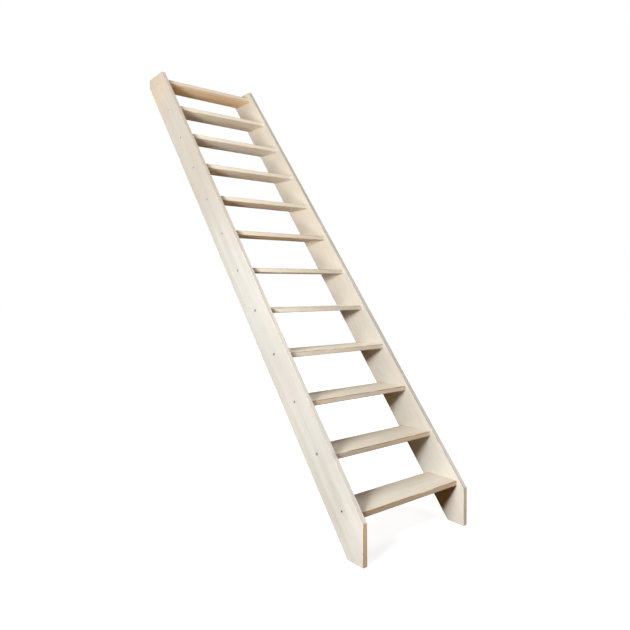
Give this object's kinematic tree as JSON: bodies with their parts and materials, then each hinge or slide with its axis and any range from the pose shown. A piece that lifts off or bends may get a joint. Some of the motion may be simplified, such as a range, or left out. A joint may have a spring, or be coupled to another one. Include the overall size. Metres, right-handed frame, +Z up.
{
  "type": "loft ladder",
  "caption": "Straight open-tread loft ladder: two timber string boards with level treads housed between them, sawn level at the floor and plumb at the head.",
  "frame": {"origin": "middle of the left string's sole, on the floor", "axes": "+X to the climber's right, from the left string to the right one; +Y level, the way the climber goes; +Z up"},
  "size_m": [0.7, 2.1325, 2.629],
  "materials": {
    "string_softwood": "planed pale softwood, bare, matte",
    "tread_softwood": "planed pale softwood, bare, matte",
    "screw_steel": "black phosphate coat, matte"
  },
  "bodies": {
    "root": {"left_string": "string_softwood", "right_string": "string_softwood", "tread_01": "tread_softwood", "tread_02": "tread_softwood", "tread_03": "tread_softwood", "tread_04": "tread_softwood", "tread_05": "tread_softwood", "tread_06": "tread_softwood", "tread_07": "tread_softwood", "tread_08": "tread_softwood", "tread_09": "tread_softwood", "tread_10": "tread_softwood", "tread_11": "tread_softwood", "tread_12": "tread_softwood"}
  },
  "joints": []
}
